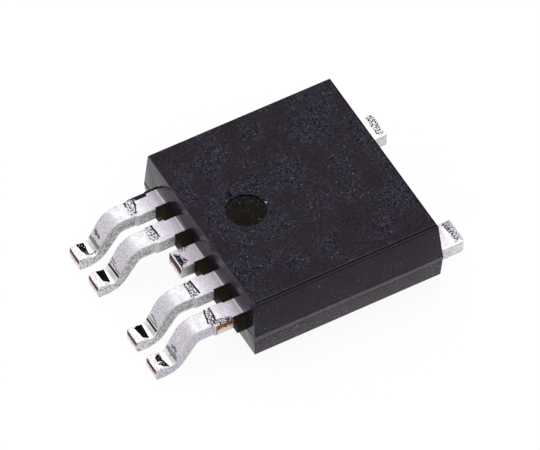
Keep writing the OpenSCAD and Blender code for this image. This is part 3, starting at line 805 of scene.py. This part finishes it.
# %% Form the four leads
for node, step in LEADS.items():
    blank = add_object("blank", make_blank("blank"))
    for finish in (tin[node], sheared, cropped):
        blank.data.materials.append(finish)
    inputs = {**face_lines, "Thickness": STRIP_T, "Place across": step * PITCH, "Scale": MM,
              "Plate": tin[node], "Side": sheared, "End": cropped}
    lead = make_with_tree(blank, forming, inputs, "formed_" + node)
    bpy.data.objects.remove(blank)
    sharpen(lead.data, 35)
    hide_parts(node)
    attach(lead, "root")
    places = np.array([vert.co for vert in lead.data.vertices]) / MM
    print(lead.name, len(lead.data.polygons), "faces, from", places.min(axis=0).round(3), "to",
          places.max(axis=0).round(3), "with", [finish.name for finish in lead.data.materials])
for line in face_lines.values():
    bpy.data.objects.remove(line)

# %% [markdown]
# ## Softened copies of the moulded body and the slug
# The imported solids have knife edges, but no mould or press makes one. A copy of each is merged, because
# its triangles come loose, and its outer edges are bevelled by a few hundredths of a millimetre, which is
# what catches a thin line of light on the real part. Each face then gets its finish by its place.

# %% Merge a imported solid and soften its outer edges
def softened_copy(node, name, wanted, radius, least_turn):
    """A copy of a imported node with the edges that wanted() picks rounded to a radius in millimetres."""
    bm = bmesh.new()
    bm.from_mesh(frame["nodes"][node].data)
    bmesh.ops.remove_doubles(bm, verts=bm.verts, dist=1e-4 * MM)
    bmesh.ops.dissolve_limit(bm, angle_limit=math.radians(0.3), verts=bm.verts, edges=bm.edges)
    edges = []
    for edge in bm.edges:
        if len(edge.link_faces) == 2 and edge.calc_face_angle(0) > math.radians(least_turn):
            if wanted((edge.verts[0].co + edge.verts[1].co) / 2 / MM):
                edges.append(edge)
    bmesh.ops.bevel(bm, geom=edges, offset=radius * MM, segments=3, profile=0.5, affect="EDGES",
                    clamp_overlap=True)
    bmesh.ops.triangulate(bm, faces=[f for f in bm.faces if len(f.verts) > 4])
    mesh = bpy.data.meshes.new(name)
    bm.to_mesh(mesh)
    bm.free()
    print(name, len(edges), "edges softened,", len(mesh.polygons), "faces")
    return add_object(name, mesh)


def give_materials(made, materials, pick):
    made.data.materials.clear()
    for material in materials:
        made.data.materials.append(material)
    for face in made.data.polygons:
        face.material_index = pick(face.center / MM, face.normal)


print("loose triangles in the packed body:", len(frame["nodes"]["mould_body"].data.polygons))


# %% The stamped slug
def on_slug_outside(p):
    return p.y > BACK_Y + 0.02 or p.y < FRONT_Y - STUB_FROM - 0.01


def slug_finish(p, n):
    if p.y < FRONT_Y - 0.7 and n.y < -0.7:
        return END
    return SIDE if abs(n.x) > 0.7 or (n.y > 0.7 and p.y > BACK_Y) else PLATE


slug = softened_copy("heat_slug", "stamped_slug", on_slug_outside, 0.03, 30)
give_materials(slug, [tin["heat_slug"], sheared_slug_painted_light, cropped], slug_finish)
strip = slug.data.attributes.new("strip", "FLOAT_VECTOR", "POINT")
for index, vert in enumerate(slug.data.vertices):
    p = vert.co / MM
    raised = PART_Z if p.y < FRONT_Y + 0.3 else 0
    strip.data[index].vector = (p.x, FRONT_Y - p.y, p.z - STRIP_T / 2 - raised)
sharpen(slug.data, 35)
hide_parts("heat_slug")
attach(slug, "root")

# %% The moulded body
def on_body_outside(p):
    wall = abs(p.x) > HALF_W - 0.16 or p.y < FRONT_Y + 0.1 or p.y > BACK_Y - 0.16
    return wall or p.z > BODY_H - 0.07 or p.z < 0.05


def body_finish(p, n):
    """The place in body_finishes of the finish for a face, from its middle and the way it faces."""
    # the back and left top edges take the near-black finish as painted shade
    back_or_left_edge_painted_shade = p.z > BODY_H - 0.03 and (p.y > TOP_BACK - 0.03 or p.x < 0.03 - TOP_X)
    under_the_pin = p.z > BODY_H - 0.06 and (p.xy - PIN_MIDDLE).length < PIN_R
    between_the_leads = PART_Z - 0.02 < p.z < LEAD_TOP + 0.02 and RESIN_FROM - 0.01 < p.x < RESIN_TO + 0.01
    if back_or_left_edge_painted_shade or under_the_pin:
        return body_finishes.index(epoxy_pin_and_painted_edge_shade)
    # between the leads the resin is painted near black as painted shade
    if p.y < FRONT_Y + 0.01 and between_the_leads:
        return body_finishes.index(epoxy_dam_painted_shade)
    if n.y < -0.6 and p.y < FRONT_Y + 0.12:
        return body_finishes.index(epoxy_wall)
    if p.z < PART_Z and abs(n.z) < 0.6:
        return body_finishes.index(epoxy_band_painted_reflection)
    return body_finishes.index(epoxy_side if abs(n.x) > 0.6 else epoxy_grain)


body = softened_copy("mould_body", "moulded_body", on_body_outside, 0.02, 25)
give_materials(body, body_finishes, body_finish)
sharpen(body.data, 30)
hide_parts("mould_body")
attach(body, "root")

# %% [markdown]
# ## Inside
# The chip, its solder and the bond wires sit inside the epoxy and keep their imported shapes. They still get
# their real finishes, so that the part can be shown cut open.

# %% Chip, solder and wires
def make_inner(name, dark, light, metallic, roughness, scale):
    material, tree = new_material(name)
    noise = add_node(tree, "ShaderNodeTexNoise",
                     inputs={"Vector": millimetres(tree), "Scale": scale, "Detail": 3.0}).outputs["Fac"]
    colour = shade_between(tree, noise, 0.0, 1.0, dark, light)
    end_surface(tree, colour, noise, 0.3, 0.004, {"Metallic": metallic, "Roughness": roughness})
    return material


inner_finishes = {
    "chip": make_inner("polished_silicon", "#565A62", "#7C818B", 0.0, 0.2, 3.0),
    "chip_solder": make_inner("dull_solder", "#8F9095", "#B4B5BA", 1.0, 0.45, 12.0),
    "bond_wire": make_inner("drawn_copper_wire", "#B5714A", "#D99A6C", 1.0, 0.3, 20.0),
}
for node, packed in frame["nodes"].items():
    for start, finish in inner_finishes.items():
        if node == start or (start == "bond_wire" and node.startswith(start)):
            packed.data.materials.clear()
            packed.data.materials.append(finish)
print("inner finishes:", len(inner_finishes))

# %% [markdown]
# ## Flash along the parting line
# Where the two mould halves meet, a film of resin a hundredth of a millimetre thick creeps out. Its colour
# is painted far paler than the epoxy, a painted highlight that draws the fine pale line round the body. A
# node tree sweeps a tiny round section along the parting line and lets its thickness wander, because real
# flash is never even.

# %% Flash tree
def make_flash_tree():
    inputs = {"Parting line": "Geometry", "Radius": "Float", "Wander": "Float", "Scale": "Float",
              "Seed": "Float", "Material": "Material"}
    tree, given = new_group("flash_along_a_line", "GeometryNodeTree", inputs, "Flash", "Geometry")
    fine = add_node(tree, "GeometryNodeResampleCurve", {"mode": "LENGTH"},
                    {"Curve": given["Parting line"], "Length": 0.05})
    place = add_node(tree, "GeometryNodeInputPosition").outputs[0]
    noise = add_node(tree, "ShaderNodeTexNoise", {"noise_dimensions": "4D"},
                     {"Vector": place, "W": given["Seed"], "Scale": 6.0, "Detail": 3.0})
    swing = add_node(tree, "ShaderNodeMapRange", inputs={"Value": noise.outputs["Fac"], "From Min": 0.3,
                                                         "From Max": 0.7, "To Min": -1.0})
    radius = add_node(tree, "ShaderNodeMath", {"operation": "MULTIPLY_ADD"},
                      {0: swing.outputs[0], 1: given["Wander"], 2: given["Radius"]}).outputs[0]
    sized = add_node(tree, "GeometryNodeSetCurveRadius", inputs={"Curve": fine.outputs[0], "Radius": radius})
    section = add_node(tree, "GeometryNodeCurvePrimitiveCircle", inputs={"Resolution": 6, "Radius": 1.0})
    swept = add_node(tree, "GeometryNodeCurveToMesh",
                     inputs={"Curve": sized.outputs[0], "Profile Curve": section.outputs[0], "Scale": radius,
                             "Fill Caps": True})
    size = add_node(tree, "ShaderNodeCombineXYZ", inputs={axis: given["Scale"] for axis in "XYZ"})
    small = add_node(tree, "GeometryNodeTransform",
                     inputs={"Geometry": swept.outputs[0], "Scale": size.outputs[0]})
    whole = add_node(tree, "GeometryNodeRealizeInstances", inputs={0: small.outputs[0]})
    shown = add_node(tree, "GeometryNodeSetMaterial",
                     inputs={"Geometry": whole.outputs[0], "Material": given["Material"]})
    add_node(tree, "NodeGroupOutput", inputs={"Flash": shown.outputs[0]})
    return tree


flash_tree = make_flash_tree()
print("flash tree:", len(flash_tree.nodes), "nodes")

# %% Sweep the flash
# painted highlight: the flash's colour is far paler than the epoxy it is made of
epoxy_flash_painted_highlight = make_epoxy("flash_epoxy_painted_highlight", "#6A6370", "#8C8592", roughness=0.4, shine=0.5, glint=0.2,
                         grain_depth_mm=0.004)
route = [(RESIN_TO, FRONT_Y), (HALF_W, FRONT_Y), (HALF_W, BACK_Y), (-HALF_W, BACK_Y), (-HALF_W, FRONT_Y),
         (RESIN_FROM, FRONT_Y)]
path = bpy.data.curves.new("parting_line", "CURVE")
path.dimensions = "3D"
spline = path.splines.new("POLY")
spline.points.add(len(route) - 1)
for point, (x, y) in zip(spline.points, route):
    point.co = (x, y, PART_Z, 1)
parting = add_object("parting_line", path)
inputs = {"Radius": 0.014, "Wander": 0.006, "Scale": MM, "Seed": 4.0, "Material": epoxy_flash_painted_highlight}
flash = make_with_tree(parting, flash_tree, inputs, "parting_flash")
bpy.data.objects.remove(parting)
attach(flash, "root")
print("flash:", len(flash.data.polygons), "faces")

# %% [markdown]
# ## Floor, light and background
# The part lies on a white sheet under a soft, even studio light. Lamps and sky together light a level
# surface at a plain level of about one, so colours render as they are written. The sheet and the sky look
# white to the camera and in reflections by their own colour, not by more light on the part.

# %% Floor
def make_sheet():
    material, tree = new_material("white_paper_sheet")
    rays = add_node(tree, "ShaderNodeLightPath").outputs
    paper = add_node(tree, "ShaderNodeBsdfDiffuse", inputs={"Color": (0.95, 0.95, 0.95, 1.0)})
    white = add_node(tree, "ShaderNodeEmission", inputs={"Color": (1.0, 1.0, 1.0, 1.0), "Strength": 1.04})
    seen = rays["Is Camera Ray"]
    for ray in ("Is Glossy Ray", "Is Transmission Ray"):
        seen = add_node(tree, "ShaderNodeMath", {"operation": "MAXIMUM"}, {0: seen, 1: rays[ray]}).outputs[0]
    share = add_node(tree, "ShaderNodeMath", {"operation": "MULTIPLY"}, {0: seen, 1: 0.88})
    mixed = add_node(tree, "ShaderNodeMixShader",
                     inputs={0: share.outputs[0], 1: paper.outputs[0], 2: white.outputs[0]})
    add_node(tree, "ShaderNodeOutputMaterial", inputs={"Surface": mixed.outputs[0]})
    return material


half, drop = 400 * MM, 0.002 * MM
sheet_mesh = bpy.data.meshes.new("paper_sheet")
sheet_mesh.from_pydata([(x * half, y * half, -drop) for x, y in block(-1, -1, 1, 1)], [], [(0, 1, 2, 3)])
sheet_mesh.materials.append(make_sheet())
sheet = add_object("paper_sheet", sheet_mesh)
print("sheet:", round(2 * half / MM), "mm square")

# %% Sky
world = bpy.data.worlds.new("soft_room")
bpy.context.scene.world = world
world.use_nodes = True
tree = world.node_tree
tree.nodes.clear()
rays = add_node(tree, "ShaderNodeLightPath").outputs
seen = add_node(tree, "ShaderNodeMath", {"operation": "MAXIMUM"},
                {0: rays["Is Camera Ray"], 1: rays["Is Transmission Ray"]})
height = add_node(tree, "ShaderNodeSeparateXYZ",
                  inputs={0: add_node(tree, "ShaderNodeTexCoord").outputs["Generated"]}).outputs["Z"]
dome = add_node(tree, "ShaderNodeMapRange", {"interpolation_type": "SMOOTHSTEP"},
                {"Value": height, "From Min": 0.0, "From Max": 0.75, "To Min": 0.6, "To Max": 0.95})
glossy = add_node(tree, "ShaderNodeMath", {"operation": "MULTIPLY"},
                  {0: rays["Is Glossy Ray"], 1: dome.outputs[0]})
plain = add_node(tree, "ShaderNodeMath", {"operation": "SUBTRACT"}, {0: 1.0, 1: rays["Is Glossy Ray"]})
level = add_node(tree, "ShaderNodeMath", {"operation": "MULTIPLY_ADD"},
                 {0: plain.outputs[0], 1: 0.6, 2: glossy.outputs[0]})
strength = add_node(tree, "ShaderNodeMath", {"operation": "MAXIMUM"},
                    {0: seen.outputs[0], 1: level.outputs[0]})
sky = add_node(tree, "ShaderNodeBackground",
               inputs={"Color": (1.0, 1.0, 1.0, 1.0), "Strength": strength.outputs[0]})
add_node(tree, "ShaderNodeOutputWorld", inputs={"Surface": sky.outputs[0]})
print("sky:", world.name, "of", len(tree.nodes), "nodes")

# %% Softbox
softbox = bpy.data.lights.new("softbox", "AREA")
softbox.shape = "DISK"
softbox.size = 0.35
softbox.energy = 0.55
lamp = add_object("softbox", softbox)
lamp.location = (-0.16, 0.05, 0.42)
lamp.rotation_mode = "QUATERNION"
lamp.rotation_quaternion = lamp.location.to_track_quat("Z", "Y")
bpy.context.scene.view_settings.view_transform = "Standard"
print("lamp", round(softbox.energy, 3), "W")
